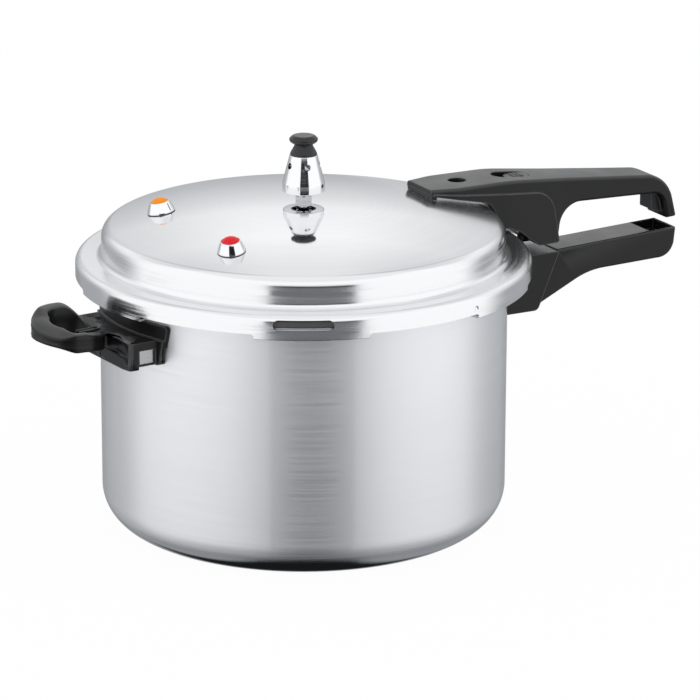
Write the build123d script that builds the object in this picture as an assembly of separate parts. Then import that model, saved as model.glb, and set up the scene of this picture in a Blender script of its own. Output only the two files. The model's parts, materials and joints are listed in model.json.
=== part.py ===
from build123d import *
import os
from math import acos, asin, cos, degrees, radians, sin, sqrt, tan

# Pot
pot_radius = 122.6  # outside of the wall
pot_wall = 3.0
pot_floor = 4.0
pot_corner = 23.8  # outside radius between wall and floor
pot_height = 158.6  # top of the rim
rim_thickness = 3.0
rim_overhang = 3.5  # plain rim beyond the wall

# Bayonet
lug_count = 6
lug_angle = 28.0  # degrees
lug_turn = 4.0  # first lug, degrees from the long handles
lug_reach = 7.0  # pot lugs beyond the plain rim
lid_lug_thickness = 3.0
lug_end_round = 2.0

# Lid
lid_wall = 3.0
skirt_round = 4.2  # outside radius of the skirt's top corner
shoulder_inset = 1.4  # wall above the ledge inside the pot's outer face
shoulder_height = 17.0
shoulder_round = 6.6
ledge_round = 3.6  # inside corner between ledge and shoulder
dome_rise = 15.3
gasket_height = 4.5
slot_length = 35.2
slot_height = 6.4
slot_turn = -118.0  # degrees from the long handles
stop_turn = -71.0
stop_radius = 2.2

# Vent pipe and weight
vent_radius = 3.3
vent_bore = 1.6
vent_height = 20.0  # pipe above the dome
vent_thread = 4.0
weight_lift = 5.6  # bell above the dome
bell_radius = 12.7
bell_edge = 5.5  # height of the bell's straight band
bell_height = 22.5
bell_top_radius = 8.35
bell_hole = 1.85
bell_hole_count = 5
bell_hole_turn = -103.0
knob_height = 12.5
knob_neck = 5.4
knob_radius = 8.7

# Valves
red_inset, red_turn = 29.2, -145.0  # in from the shoulder, mm, and degrees round
amber_inset, amber_turn = 36.1, 152.0
collar_height = 6.8
collar_radius = 8.3
button_radius = 5.25
button_rise = 2.3
stem_radius = 1.5
nipple_radius = 4.0
nipple_length = 9.5  # below the dome's outer face
spring_length = 8.0
spring_turns = 5
spring_wire = 0.4  # radius
spring_coil = 2.7  # radius
spring_seat = 0.1

# Float pin
float_inset = 17.7  # in from the shoulder
pin_radius = 1.6
float_travel = 4.0

# Lid handle
strap_thickness = 2.0
strap_width = 26.0
nose_inset = 41.7  # end of the handle, in from the shoulder
nose_depth = 3.5
handle_reach = 121.5  # tip beyond the skirt
root_reach = 33.0  # root beyond the skirt
slim_reach = 50.0  # slimmest part of the grip beyond the root
root_rise = 2.2  # root above the skirt's edge
bend_inset = 2.0  # where the flat top starts to fall, in from the skirt
top_fall = 0.102  # slope of the top beyond the bend
tip_round = 22.0
tip_slant = 7.0  # tip leans outwards by this much
tip_wall = 7.4
hook_drop = 39.5  # tip's end below the handle's top
grip_depth = 17.5
nose_width = 30.0
shoulder_width = 38.0
grip_width = 26.0
grip_edge = 2.4
cheek_step = 1.2

# Lock on the lid handle
lock_reach = 15.0  # stem beyond the skirt
lock_travel = 8.0
lock_length = 16.0
lock_width = 14.0
lock_depth = 3.5

# Pot handle
handle_gap = 5.8  # between the two roots
belly_reach = 57.0  # where the underside levels out, beyond the skirt
tip_rise = 3.6  # top of the grip's tip above the root's top
pot_grip_depth = 18.6
pot_root_depth = 36.0
pot_grip_width = 26.0
pot_root_width = 33.0
plate_thickness = 2.5
tongue_thickness = 3.0
tongue_width = 18.0

# Helper handle
base_drop = 35.2  # underside below the pot's rim
base_half = 34.5
base_depth = 16.2
foot_height = 7.5  # lower, fuller part of the base
bar_reach = 17.4  # ends of the base beyond the pot's wall
saddle_depth = 4.0
saddle_lean = 5.0  # saddle's ends lean outwards towards the top
upstand_rise = 8.5
neck_reach = 19.4  # neck beyond the pot's wall
neck_half = 5.5
ring_reach = 38.9  # ring's middle beyond the pot's wall
ring_radius = 21.7
ring_wall = 3.4
ring_toe = 11.0  # solid tip beyond the opening
ring_neck = 5.5  # solid neck before the opening
ring_lean = 11.0  # degrees, top of the ring falls towards the side of the relief slot
ring_low_step = 12.9  # ring's underside above the base's
ring_depth = 19.4
ring_edge = 5.5
toe_rise = 5.2  # underside of the tip above the ring's
stirrup_thickness = 1.6
helper_rivet_spread = 20.0
stirrup_height = 8.4
end_frame = 1.6  # base beyond the stirrup at each end
frame_wall = 1.4  # between the two windows of an end

# Fasteners
rivet_shank = 2.2
rivet_head = 4.0
rivet_dome = 1.4
strap_rivet_shank = 2.0
strap_rivet_head = 3.4
strap_rivet_dome = 1.2
screw_radius = 2.0
screw_head = 4.0
screw_head_height = 2.4
head_room = 0.6  # counterbore beyond a screw head
small_screw = 1.0
small_head = 2.2
small_head_height = 1.2

# Clearances
lug_gap = 0.4  # between sliding lug faces
lug_pass = 1.0  # lid lugs past the plain rim
skirt_gap = 0.9  # pot lugs to the inside of the skirt
seal_gap = 0.3
fit_gap = 0.3  # loose fits
running = 0.08  # pins in their bores
seat_gap = 0.06  # flat washers under the curved lid

# Levels and radii that follow
pot_bore = pot_radius - pot_wall
rim_radius = pot_radius + rim_overhang
pot_lug_radius = rim_radius + lug_reach
rim_bottom = pot_height - rim_thickness
lid_lug_radius = rim_radius + lug_pass
lid_lug_top = rim_bottom - lug_gap
skirt_bottom = lid_lug_top - lid_lug_thickness
skirt_bore = pot_lug_radius + skirt_gap
skirt_radius = skirt_bore + lid_wall
shoulder_radius = pot_radius - shoulder_inset
gasket_bottom = pot_height + seal_gap
ledge_bottom = gasket_bottom + gasket_height
ledge_top = ledge_bottom + lid_wall
dome_edge = ledge_top + shoulder_height
dome_top = dome_edge + dome_rise
dome_radius = (shoulder_radius**2 + dome_rise**2) / (2 * dome_rise)
lug_pitch = 360 / lug_count
red_radius = shoulder_radius - red_inset
amber_radius = shoulder_radius - amber_inset
float_place = shoulder_radius - float_inset
nose_place = shoulder_radius - nose_inset
bend_place = skirt_radius - bend_inset
lock_place = skirt_radius + lock_reach
neck_place = pot_radius + neck_reach
ring_place = pot_radius + ring_reach


def outline(*corners):
    """Closed face from (across, up, corner radius) triples."""
    points = [corner[:2] for corner in corners]
    rounds = [corner[2] for corner in corners]
    return make_face(FilletPolyline(*points, radius=rounds, close=True))


def turned(*corners, arc=360):
    """Solid of revolution about Z from (radius, height, corner radius) triples."""
    return revolve(Plane.XZ * outline(*corners), Axis.Z, arc)


def side_cut(face, width):
    """Side view (X across, Z up) given an even width along Y."""
    return extrude(Plane.XZ * face, width / 2, both=True)


def plan_cut(face, low, high):
    """Plan view given a height from low to high."""
    return Pos(0, 0, low) * extrude(face, high - low)


def block(x0, x1, width, low, high):
    """Box centred on the XZ plane."""
    centre = Pos((x0 + x1) / 2, 0, (low + high) / 2)
    return centre * Box(x1 - x0, width, high - low)


def ring(inner, outer, low, high):
    return turned((inner, low, 0), (outer, low, 0), (outer, high, 0), (inner, high, 0))


def rod(radius, low, high):
    return Pos(0, 0, low) * Cylinder(radius, high - low, align=(Align.CENTER, Align.CENTER, Align.MIN))


def sector(inner, outer, low, high, width, middle):
    """Part of a ring, width and middle in degrees."""
    corners = ((inner, low, 0), (outer, low, 0), (outer, high, 0), (inner, high, 0))
    return Rot(0, 0, middle - width / 2) * turned(*corners, arc=width)


def around(shape, count, start=0):
    """Copies of a shape spread evenly about Z."""
    return [Rot(0, 0, start + 360 / count * step) * shape for step in range(count)]


def dome_height(radius):
    return dome_top - dome_radius + sqrt(dome_radius**2 - radius**2)


def on_dome(radius, turn):
    """Place on the dome's outer face, Z along its normal."""
    tilt = degrees(asin(radius / dome_radius))
    return Rot(0, 0, turn) * Pos(radius, 0, dome_height(radius)) * Rot(0, tilt, 0)


def rivet(grip, shank, head, head_height, grow):
    """Rivet along Z, lower head at 0 and upper head at grip, its heads grown by a clearance."""
    head += grow
    head_height += grow
    lower = turned((0, -head_height, 0), (head, -head_height, head_height * 0.7), (head, 0, 0), (0, 0, 0))
    upper = Pos(0, 0, grip) * Rot(180, 0, 0) * lower
    return rod(shank, 0, grip) + lower + upper


def screw(shank, head, head_height, length):
    """Pan screw, head upwards from 0, shank below, with a cross recess."""
    top = turned((0, 0, 0), (head, 0, 0), (head, head_height, head_height * 0.5), (0, head_height, 0))
    recess = Box(head * 1.2, head * 0.3, head_height) + Box(head * 0.3, head * 1.2, head_height)
    return top + rod(shank, -length, 0) - Pos(0, 0, head_height) * recess


def hex_nut(flats, hole, low, high):
    face = RegularPolygon(flats / 2, 6, major_radius=False) - Circle(hole)
    return plan_cut(face, low, high)


def helical_spring(coil, wire, low, high, turns):
    """Round wire on a helix about Z between two heights."""
    height = high - low - 2 * wire
    pitch = height / turns
    print("spring self gap", round(pitch - 2 * wire, 3))
    path = Helix(pitch, height, coil)
    section = Plane(origin=path @ 0, z_dir=path % 0) * Circle(wire)
    return Pos(0, 0, low + wire) * sweep(section, path=path, is_frenet=True)


def lid_form(inset, bottom):
    """Lid's outer form as a filled solid, moved inwards by inset."""
    skirt = skirt_radius - inset
    wall = shoulder_radius - inset
    ledge = ledge_top - inset
    peak = dome_top + lid_wall + strap_thickness
    stack = turned(
        (0, bottom, 0),
        (skirt, bottom, 0),
        (skirt, ledge, skirt_round - inset),
        (wall, ledge, ledge_round + inset),
        (wall, peak, 0),
        (0, peak, 0),
    )
    ball = Pos(0, 0, dome_top - dome_radius) * Sphere(dome_radius - inset)
    form = stack & ball
    edge = form.edges().sort_by_distance((0, wall, dome_edge))[0]
    return fillet(edge, shoulder_round - inset)


# Pot
def make_pot():
    outside = turned(
        (0, 0, 0),
        (pot_radius, 0, pot_corner),
        (pot_radius, rim_bottom, 1.0),
        (rim_radius, rim_bottom, 0.8),
        (rim_radius, pot_height, 0.8),
        (0, pot_height, 0),
    )
    lug = sector(rim_radius - 2, pot_lug_radius, rim_bottom, pot_height, lug_angle, 0)
    corners = lug.edges().filter_by(Axis.Z).group_by(SortBy.DISTANCE)[-1]
    lugs = around(fillet(corners, lug_end_round), lug_count, lug_turn)
    inside = turned(
        (0, pot_floor, 0),
        (pot_bore, pot_floor, pot_corner - pot_wall),
        (pot_bore, pot_height + 1, 0),
        (0, pot_height + 1, 0),
    )
    helper_pins = [turn_round * pin for pin in make_helper_rivets()]
    return outside + lugs - inside - make_pot_handle_rivets() - helper_pins


# Pot handle
root_bottom = skirt_bottom + root_rise
pot_top = root_bottom - handle_gap
pot_root_low = pot_top - pot_root_depth
plate_radius = pot_radius + plate_thickness
tongue_low = pot_top - 20.0
tongue_high = tongue_low + tongue_thickness
pot_screw_place = skirt_radius + 11.0
pot_screw_head = pot_root_low + 6.0
tongue_end = pot_screw_place + 8.0
grip_tip = skirt_radius + handle_reach
tip_top = pot_top + tip_rise
root_outer = skirt_radius + root_reach
keeper_low = skirt_radius + 5.0
keeper_high = lock_place - 6.5
bolt_half = 4.5


def make_pot_handle_bracket():
    height = pot_root_depth - 8
    band = ring(pot_radius, plate_radius, pot_root_low + 4, pot_root_low + 4 + height)
    plate = band & block(0, plate_radius, pot_root_width - 4, 0, pot_height)
    tongue = block(plate_radius - 1, tongue_end, tongue_width, tongue_low, tongue_high)
    hole = Pos(pot_screw_place, 0, 0) * rod(screw_radius, tongue_low - 1, tongue_high + 1)
    return plate + tongue - hole - make_pot_handle_rivets()


def make_pot_handle_rivets(grow=0):
    place = Rot(0, 90, 0)
    low = pot_bore - seat_gap
    spread = pot_root_width / 2 - 7
    heights = (pot_root_low + 9, pot_top - 9)
    pins = []
    for height in heights:
        for side in (-1, 1):
            turn = degrees(asin(side * spread / pot_radius))
            pin = rivet(plate_radius - low + seat_gap, rivet_shank, rivet_head, rivet_dome, grow)
            pins.append(Rot(0, 0, turn) * Pos(low, 0, height) * place * pin)
    return pins


def make_pot_handle():
    inside = pot_radius - 5
    grip_low = tip_top - pot_grip_depth
    grip_face = outline(
        (inside, pot_top - 2, 0),
        (root_outer - 1, pot_top - 2, 0),
        (root_outer + 1, pot_top, 1.5),
        (grip_tip - 1, tip_top, 0.8),
        (grip_tip - 3, grip_low, 11.0),
        (skirt_radius + belly_reach, grip_low - 1.6, 50.0),
        (skirt_radius + 16, pot_root_low, 14.0),
        (inside, pot_root_low, 0),
    )
    root_face = outline(
        (inside, pot_root_low, 0),
        (skirt_radius + 18, pot_root_low, 4.0),
        (root_outer, pot_top, 1.2),
        (inside, pot_top, 0),
    )
    grip = side_cut(grip_face, pot_grip_width)
    long_edges = grip.edges().filter_by(Axis.Y, reverse=True)
    long_edges = long_edges.filter_by_position(Axis.X, root_outer, grip_tip + 1)
    pocket_width = pot_grip_width - 3
    pocket = block(grip_tip - 16, grip_tip - 2.5, pocket_width, tip_top - 7, tip_top + 5)
    ramp = Pos(grip_tip - 16, 0, tip_top) * Rot(0, 30, 0) * Box(6, pocket_width, 8)
    keeper = block(keeper_low, keeper_high, 4 * bolt_half, pot_top - 2, root_bottom - 0.7)
    notch = block(keeper_low - 1, keeper_high + 1, 2 * (bolt_half + fit_gap), pot_top + 0.5, root_bottom)
    slot = block(0, tongue_end + fit_gap, tongue_width + 2 * fit_gap, tongue_low, tongue_high)
    bore = rod(screw_radius + fit_gap, 0, tongue_low) + rod(screw_head + head_room, 0, pot_screw_head)
    body = fillet(long_edges, 1.6) + side_cut(root_face, pot_root_width)
    body = body - pocket - ramp + (keeper - notch) - slot
    body -= Pos(pot_screw_place, 0, 0) * bore
    return body - rod(plate_radius, 0, pot_height) - make_pot_handle_rivets(fit_gap)


def make_pot_handle_screw():
    place = Pos(pot_screw_place, 0, pot_screw_head) * Rot(180, 0, 0)
    return place * screw(screw_radius, screw_head, screw_head_height, tongue_high - pot_screw_head)


# Lid
def make_lid():
    shell = lid_form(0, skirt_bottom) - lid_form(lid_wall, lid_lug_top)
    shell -= rod(lid_lug_radius, skirt_bottom - 1, lid_lug_top + 1)
    gap_angle = lug_pitch - lug_angle
    gap = sector(lid_lug_radius - 1, skirt_radius + 1, skirt_bottom - 1, lid_lug_top, gap_angle, 0)
    ends = gap.edges().filter_by(GeomType.LINE).group_by(Axis.Z)[-1]
    shell -= around(fillet(ends, lug_end_round), lug_count, lug_turn + lug_pitch / 2)
    slot = extrude(SlotOverall(slot_length, slot_height, rotation=90), lid_wall * 2, both=True)
    slot_place = Pos(skirt_radius - lid_wall / 2, 0, (pot_height + ledge_bottom) / 2)
    shell -= Rot(0, 0, slot_turn) * slot_place * Rot(0, 90, 0) * slot
    dimple = Pos(skirt_radius + stop_radius * 0.6, 0, pot_height) * Sphere(stop_radius)
    shell -= Rot(0, 0, stop_turn) * dimple
    shell -= rod(vent_thread + fit_gap, 0, dome_top + 1)
    for radius, turn in ((red_radius, red_turn), (amber_radius, amber_turn)):
        shell -= on_dome(radius, turn) * rod(nipple_radius + fit_gap, -lid_wall * 2, lid_wall)
    shell -= on_dome(float_place, 0) * rod(bush_radius + fit_gap, -lid_wall * 2, lid_wall)
    return shell - make_lid_handle_rivets()


def make_gasket():
    inner = shoulder_radius - lid_wall + 1.5
    outer = skirt_bore - fit_gap
    lip = gasket_height / 3
    return turned(
        (inner, gasket_bottom, 0.5),
        (outer, gasket_bottom, 0.8),
        (outer, ledge_bottom - fit_gap, skirt_round - lid_wall + 0.2),
        (inner, ledge_bottom - fit_gap, 0.5),
        (inner, ledge_bottom - lip, 0),
        (outer - 5, ledge_bottom - lip, 0),
        (outer - 5, gasket_bottom + lip, 0),
        (inner, gasket_bottom + lip, 0),
    )


# Vent pipe, screen and weight, heights from the dome's top
washer = 1.2
vent_nut_height = 3.0
vent_flange = 2.5
vent_flange_top = -lid_wall - seat_gap - washer
screen_top = vent_flange_top - vent_flange
screen_depth = 7.0
screen_radius = 8.0
at_top = Pos(0, 0, dome_top)


def make_vent_pipe():
    return at_top * turned(
        (vent_bore, screen_top - 2.5, 0),
        (vent_thread, screen_top - 2.5, 0.4),
        (vent_thread, screen_top, 0),
        (screen_radius, screen_top, 0.4),
        (screen_radius, vent_flange_top, 0.4),
        (vent_thread, vent_flange_top, 0),
        (vent_thread, vent_nut_height + 0.5, 0.3),
        (vent_radius, vent_nut_height + 0.5, 0),
        (vent_radius, vent_height - 2, 0),
        (vent_bore + 0.6, vent_height, 0),
        (vent_bore, vent_height, 0),
    )


def make_vent_seal():
    return at_top * ring(vent_thread, screen_radius - 0.5, vent_flange_top, vent_flange_top + washer)


def make_vent_nut():
    return at_top * hex_nut(9.4, vent_thread, 0, vent_nut_height)


def make_vent_screen():
    low = screen_top - screen_depth
    skin = 0.8
    cup = turned(
        (0, low, 0),
        (screen_radius, low, 3.0),
        (screen_radius, screen_top, 0.5),
        (0, screen_top, 0),
    )
    inside = turned(
        (0, low + skin, 0),
        (screen_radius - skin, low + skin, 3.0 - skin),
        (screen_radius - skin, screen_top - skin, 0),
        (0, screen_top - skin, 0),
    )
    hole = Pos(screen_radius, 0, low + screen_depth / 2) * Rot(0, 90, 0) * Cylinder(1.0, 4 * skin)
    floor_hole = Pos(screen_radius / 2, 0, low) * Cylinder(0.9, 4 * skin)
    cup -= [inside, rod(vent_thread, low + skin, screen_top + 1)]
    return at_top * (cup - around(hole, 10) - around(floor_hole, 6))


at_bell = Pos(0, 0, dome_top + weight_lift)
pipe_end = vent_height - weight_lift
bell_bore = vent_radius + 1.2
needle_base = pipe_end + 3.0
needle_radius = 2.5


def make_weight_bell():
    body = turned(
        (bell_bore + 3, 0, 0.4),
        (bell_radius, 0, 0.6),
        (bell_radius, bell_edge, 1.2),
        (bell_top_radius, bell_height, 0.4),
        (needle_radius, bell_height, 0),
        (needle_radius, needle_base + 1, 0),
        (bell_bore, needle_base + 1, 0),
        (bell_bore, 8, 0),
        (bell_bore + 3, 8, 0.8),
    )
    hole = Pos(bell_bore, 0, needle_base - 0.8) * Rot(0, 90, 0) * rod(bell_hole, 0, bell_radius)
    return at_bell * (body - around(hole, bell_hole_count, bell_hole_turn))


def make_weight_needle():
    tip = pipe_end - 2.0
    return at_bell * turned(
        (0, tip, 0),
        (vent_bore * 0.4, tip, 0),
        (needle_radius, needle_base, 0),
        (needle_radius, bell_height + 5, 0.5),
        (0, bell_height + 5, 0),
    )


def make_weight_knob():
    neck = bell_height + 0.42 * knob_height
    rim = bell_height + 0.66 * knob_height
    top = bell_height + knob_height
    body = turned(
        (0, bell_height, 0),
        (bell_top_radius, bell_height, 0.5),
        (bell_top_radius - 0.4, bell_height + 1.5, 1.0),
        (knob_neck, neck, 4.0),
        (knob_radius, rim, 1.2),
        (knob_radius, rim + 1.6, 1.2),
        (knob_radius - 1.4, top, 1.0),
        (0, top, 0),
    )
    dish = Pos(0, 0, top + 17.3) * Sphere(18)
    return at_bell * (body - dish - rod(needle_radius, 0, bell_height + 5))


# Spring valves, heights from the dome's outer face
valve_nut_height = 3.5
recess_floor = collar_height - 3.0
disc_low = recess_floor + fit_gap
disc_high = disc_low + 1.0
stem_head = -nipple_length - spring_length - fit_gap


def make_valve(radius, turn):
    place = on_dome(radius, turn)
    bore = stem_radius + fit_gap
    washer_top = -lid_wall - seat_gap
    collar = turned(
        (bore, -nipple_length, 0),
        (nipple_radius, -nipple_length, 0.4),
        (nipple_radius, 0, 0),
        (collar_radius, 0, 0.2),
        (collar_radius, 1.0, 0.4),
        (button_radius + 0.8, collar_height, 0.2),
        (button_radius + 0.2, collar_height, 0),
        (button_radius + 0.2, recess_floor, 0),
        (bore, recess_floor, 0),
    )
    seal = ring(nipple_radius, nipple_radius + 3, washer_top - washer, washer_top)
    nut = hex_nut(13, nipple_radius, washer_top - washer - valve_nut_height, washer_top - washer)
    spring_low = stem_head + spring_seat
    spring_high = -nipple_length - spring_seat
    spring = helical_spring(spring_coil, spring_wire, spring_low, spring_high, spring_turns)
    stem = rod(stem_radius, stem_head, disc_high + 1.2) + rod(stem_radius + 2.2, stem_head - 1.4, stem_head)
    disc = ring(stem_radius, button_radius - 0.8, disc_low, disc_high)
    lens_radius = (button_radius**2 + button_rise**2) / (2 * button_rise)
    peak = collar_height + button_rise
    lens = rod(button_radius, disc_high, peak) & Pos(0, 0, peak - lens_radius) * Sphere(lens_radius)
    lens -= rod(stem_radius, 0, disc_high + 1.2)
    parts = {
        "collar": collar,
        "washer": seal,
        "nut": nut,
        "spring": spring,
        "stem": stem,
        "disc": disc,
        "button": lens,
    }
    return {name: place * shape for name, shape in parts.items()}


# Float pin, heights from the dome's outer face
bush_radius = 3.5
bush_flange_top = strap_thickness + 1.2
bush_bottom = -lid_wall - 3.0
float_seal_top = bush_bottom - float_travel - 0.6
cap_bottom = bush_flange_top + 0.2
cap_radius = pin_radius + 1.0
cap_top = cap_bottom + 3.0
at_float = on_dome(float_place, 0)


def make_float_bush():
    bore = pin_radius + running
    return at_float * turned(
        (bore, bush_bottom, 0),
        (bush_radius, bush_bottom, 0.3),
        (bush_radius, strap_thickness, 0),
        (bush_radius + 1.6, strap_thickness, 0),
        (bush_radius + 1.6, bush_flange_top, 0.4),
        (bore, bush_flange_top, 0),
    )


def make_float_nut():
    return at_float * hex_nut(11, bush_radius, -lid_wall - seat_gap - 2.4, -lid_wall - seat_gap)


def make_float_pin():
    shank = rod(pin_radius, float_seal_top - 1.4, cap_bottom + 2)
    return at_float * (shank + rod(4.4, float_seal_top - 3.4, float_seal_top - 1.4))


def make_float_seal():
    return at_float * ring(pin_radius, 4.0, float_seal_top - 1.4, float_seal_top)


def make_float_cap():
    cap = turned(
        (0, cap_bottom, 0),
        (cap_radius, cap_bottom, 0),
        (cap_radius, cap_top, 0.6),
        (0, cap_top, 0),
    )
    return at_float * (cap - rod(pin_radius, 0, cap_bottom + 2))


# Lid handle
handle_top = dome_height(nose_place) + strap_thickness + fit_gap + nose_depth
arm_low = ledge_top + 1.2
arm_high = arm_low + 3.0
arm_end = skirt_radius + 4.0
arm_screw_place = arm_end - 4.8
strap_rivet_place = float_place - 13.0
strap_rivet_spread = 7.0
pill_low = lock_place + 3.5 - lock_length - lock_travel - 1
pill_high = lock_place + 4.0
pill_floor = handle_top - 1.6 - lock_depth
arm_screw_head = pill_floor - 4.0
bolt_low = root_bottom - 3.4
bolt_high = root_bottom - fit_gap
bolt_inner = lock_place - 3.5
bolt_length = 10.0
bolt_seat = bolt_low + 1.4
lock_stem = 2.5  # radius
ridge_pitch = 2.5
float_window = 5.6


def make_strap():
    band = lid_form(-strap_thickness, skirt_bottom) - lid_form(0, skirt_bottom - 1)
    strap = band & block(nose_place + 2, skirt_radius, strap_width, arm_low, dome_top + 9)
    arm = block(shoulder_radius + 1, arm_end, tongue_width, arm_low, arm_high)
    hole = Pos(arm_screw_place, 0, 0) * rod(screw_radius, arm_low - 1, arm_high + 1)
    bush = at_float * rod(bush_radius + fit_gap, -1, strap_thickness + 1)
    return strap + (arm - lid_form(0, skirt_bottom)) - hole - bush - make_lid_handle_rivets()


def make_lid_handle_rivets(grow=0):
    grip = lid_wall + strap_thickness + 2 * seat_gap
    pin = rivet(grip, strap_rivet_shank, strap_rivet_head, strap_rivet_dome, grow)
    pin = Pos(0, 0, -lid_wall - seat_gap) * pin
    turn = degrees(asin(strap_rivet_spread / strap_rivet_place))
    return [on_dome(strap_rivet_place, side * turn) * pin for side in (-1, 1)]


def handle_side(*top_line):
    """Lid handle's side view below a given line of corners."""
    return outline(
        *top_line,
        (root_outer, root_bottom, 1.5),
        (root_outer - 15, root_bottom, 1.5),
        (skirt_radius + 1.5, ledge_top, 0),
        (nose_place, ledge_top, 0),
    )


def handle_plan(grow):
    """Lid handle from above: broad over the lid, waisted into the grip."""
    near = [
        (nose_place, nose_width / 2 + grow, 0),
        (nose_place + 16, shoulder_width / 2 + grow, 30),
        (bend_place - 2, shoulder_width / 2 - 0.5 + grow, 40),
        (root_outer + 3, grip_width / 2 + 2 + grow, 60),
        (root_outer + slim_reach, grip_width / 2 + grow, 100),
        (grip_tip + 2, grip_width / 2 - 1 + grow, 0),
    ]
    return outline(*near, *[(x, -y, radius) for x, y, radius in reversed(near)])


def runs_along(edge):
    """True for an edge that follows the handle on either side of it."""
    return abs(edge.center().Y) > 5 and abs((edge @ 0).X - (edge @ 1).X) > 3


def make_grip():
    """Lid handle's main body before any hollows."""
    hook = handle_top - hook_drop
    bend = handle_top - top_fall * (grip_tip - tip_slant - bend_place)
    under = handle_top - 2.5 - grip_depth
    face = handle_side(
        (nose_place, handle_top, 0),
        (bend_place, handle_top, 150),
        (grip_tip - tip_slant, bend, tip_round),
        (grip_tip, hook, 1.0),
        (grip_tip - tip_wall, hook - 0.4, 1.0),
        (grip_tip - tip_wall - 4, under - 3, 9),
        (root_outer + 3, under, 15),
    )
    body = side_cut(face, 2 * shoulder_width) & plan_cut(handle_plan(0), 0, handle_top + 1)
    upper = body.edges().filter_by_position(Axis.Z, bend - 8, handle_top + 1)
    return fillet(upper.filter_by(runs_along), grip_edge)


def make_lid_handle():
    hook = handle_top - hook_drop
    cheek = handle_side((nose_place + 1, handle_top - 2.5, 0), (root_outer - 6, handle_top - 11.0, 16))
    cheek = side_cut(cheek, 2 * shoulder_width) & plan_cut(handle_plan(cheek_step), 0, handle_top + 1)
    catch = side_cut(
        outline(
            (grip_tip - 16, hook + 5, 1.0),
            (grip_tip - 4, hook + 2, 1.0),
            (grip_tip - 7, hook + 20, 0),
            (grip_tip - 16, hook + 20, 0),
        ),
        grip_width * 0.5,
    )
    seat = lid_form(-strap_thickness - fit_gap, pot_root_low)
    arm = block(shoulder_radius, arm_end + fit_gap, tongue_width + 2 * fit_gap, ledge_top - 20, arm_high)
    pill = SlotOverall(pill_high - pill_low, lock_width + 2 * fit_gap)
    pill = Pos((pill_low + pill_high) / 2, 0, 0) * plan_cut(pill, pill_floor, handle_top + 1)
    stem_slot = 2 * (lock_stem + fit_gap)
    stem = SlotOverall(lock_travel + stem_slot, stem_slot)
    stem = Pos(lock_place - lock_travel / 2, 0, 0) * plan_cut(stem, 0, handle_top)
    bore = rod(screw_radius + fit_gap, arm_low, handle_top)
    bore += rod(screw_head + head_room, arm_screw_head, handle_top)
    float_hole = rod(bush_radius + 2.2, 0, bush_flange_top + 1) + rod(cap_radius + 0.6, 0, 30)
    float_hole += rod(float_window, cap_top, 30)
    body = make_grip() + cheek + catch
    body = body - seat - arm - pill - stem - Pos(arm_screw_place, 0, 0) * bore
    return body - at_float * float_hole - make_lid_handle_rivets(fit_gap)


def make_lid_handle_screw():
    shape = screw(screw_radius, screw_head, screw_head_height, arm_screw_head - arm_low)
    return Pos(arm_screw_place, 0, arm_screw_head) * shape


# Lock slider
def make_lock_button():
    low = pill_floor + fit_gap
    middle = lock_place + 3.5 - lock_length / 2
    pad = Pos(middle, 0, 0) * plan_cut(SlotOverall(lock_length, lock_width), low, handle_top - 2)
    ridge = block(-0.5, 0.5, lock_width * 0.6, low + 2, handle_top - 1.4)
    ridges = [Pos(middle + ridge_pitch * step, 0, 0) * ridge for step in (-1, 0, 1)]
    stem = rod(lock_stem, bolt_high, low + 1) - rod(small_screw, bolt_low, bolt_high + 6)
    return pad + ridges + Pos(lock_place, 0, 0) * stem


def make_lock_bolt():
    plate = block(bolt_inner, bolt_inner + bolt_length, 2 * bolt_half, bolt_low, bolt_high)
    bore = rod(small_screw, bolt_low - 1, bolt_high + 1) + rod(small_head + 0.2, bolt_low - 1, bolt_seat)
    return plate - Pos(lock_place, 0, 0) * bore


def make_lock_screw():
    place = Pos(lock_place, 0, bolt_seat) * Rot(180, 0, 0)
    return place * screw(small_screw, small_head, small_head_height, bolt_high + 5 - bolt_seat)


# Helper handle, drawn along +X and then turned to -X
base_low = pot_height - base_drop
base_top = base_low + base_depth
bar_outer = pot_radius + bar_reach
part_radius = pot_radius + saddle_depth
stirrup_radius = pot_radius + stirrup_thickness
stirrup_low = base_low + 2.5
stirrup_high = stirrup_low + stirrup_height
stirrup_half = base_half - end_frame
stirrup_end = bar_outer - 6.0
tongue_base = base_low + 6.5
tongue_top = tongue_base + tongue_thickness
helper_screw_place = part_radius + 7.5
tongue_tip = helper_screw_place + 6.0
helper_screw_head = base_low + 4.0
ring_low = base_low + ring_low_step
ring_high = ring_low + ring_depth
ring_tip = ring_place + ring_radius
waist = bar_outer - 4.5
turn_round = Rot(0, 0, 180 + lug_turn)


def make_stirrup():
    band = ring(pot_radius, stirrup_radius, stirrup_low, stirrup_high)
    strip = band & block(0, stirrup_radius, 2 * stirrup_half, 0, pot_height)
    leg_start = sqrt(pot_radius**2 - stirrup_half**2)
    legs = block(leg_start, stirrup_end, 2 * stirrup_half, stirrup_low, stirrup_high)
    legs -= block(0, stirrup_end + 1, 2 * (stirrup_half - stirrup_thickness), 0, pot_height)
    legs -= rod(pot_radius, 0, pot_height)
    tongue = block(stirrup_radius - 1, tongue_tip, tongue_width, tongue_base, tongue_top)
    hole = Pos(helper_screw_place, 0, 0) * rod(screw_radius, 0, pot_height)
    return strip + legs + tongue - hole - make_helper_rivets()


def make_helper_rivets(grow=0):
    low = pot_bore - seat_gap
    middle = (stirrup_low + stirrup_high) / 2
    pins = []
    for side in (-1, 1):
        turn = degrees(asin(side * helper_rivet_spread / pot_radius))
        pin = rivet(stirrup_radius - low + seat_gap, rivet_shank, rivet_head, rivet_dome, grow)
        pins.append(Rot(0, 0, turn) * Pos(low, 0, middle) * Rot(0, 90, 0) * pin)
    return pins


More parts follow.
